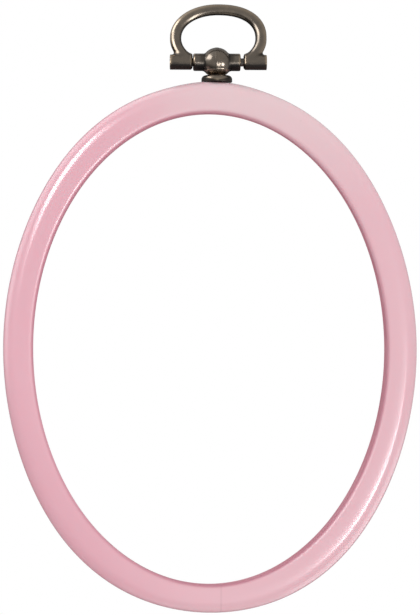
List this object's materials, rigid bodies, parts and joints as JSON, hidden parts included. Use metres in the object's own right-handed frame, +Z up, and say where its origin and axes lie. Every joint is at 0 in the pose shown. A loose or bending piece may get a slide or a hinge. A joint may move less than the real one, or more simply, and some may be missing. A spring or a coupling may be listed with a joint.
{
  "type": "embroidery hoop",
  "caption": "Oval embroidery hoop and display frame: a soft outer ring pushed over a hard inner ring, hung by a metal bail on a swivelling ball-and-barrel hinge.",
  "frame": {"origin": "where a nail touches the inside top of the bail, in the middle of the ring's depth", "axes": "+Z up, +X to the right seen from the front, +Y from the front face to the back"},
  "size_m": [0.095, 0.009, 0.1399],
  "materials": {
    "soft_vinyl": "glossy soft pale-pink vinyl",
    "hard_plastic": "satin hard pink plastic",
    "aged_brass": "antique brass, dark and polished on the high spots",
    "steel": "dull steel"
  },
  "bodies": {
    "bail": {"bail": "aged_brass", "hinge_pin": "steel"},
    "head": {"hanger_head": "aged_brass", "stud": "steel"},
    "hoop": {"outer_ring": "soft_vinyl", "collar": "aged_brass", "backing_washer": "steel"},
    "inner": {"inner_ring": "hard_plastic"}
  },
  "joints": [
    {"name": "bail_hinge", "type": "hinge", "parent": "bail", "child": "head", "pos_m": [0, 0, -0.01085], "axis": [1, 0, 0], "range_deg": [-110, 110]},
    {"name": "swivel", "type": "hinge", "parent": "head", "child": "hoop", "pos_m": [-0.00035, 0, -0.0154], "axis": [0, 0, 1], "continuous": true},
    {"name": "inner_ring_slide", "type": "slide", "parent": "hoop", "child": "inner", "axis": [0, 1, 0], "range_m": [0, 0.025]}
  ]
}
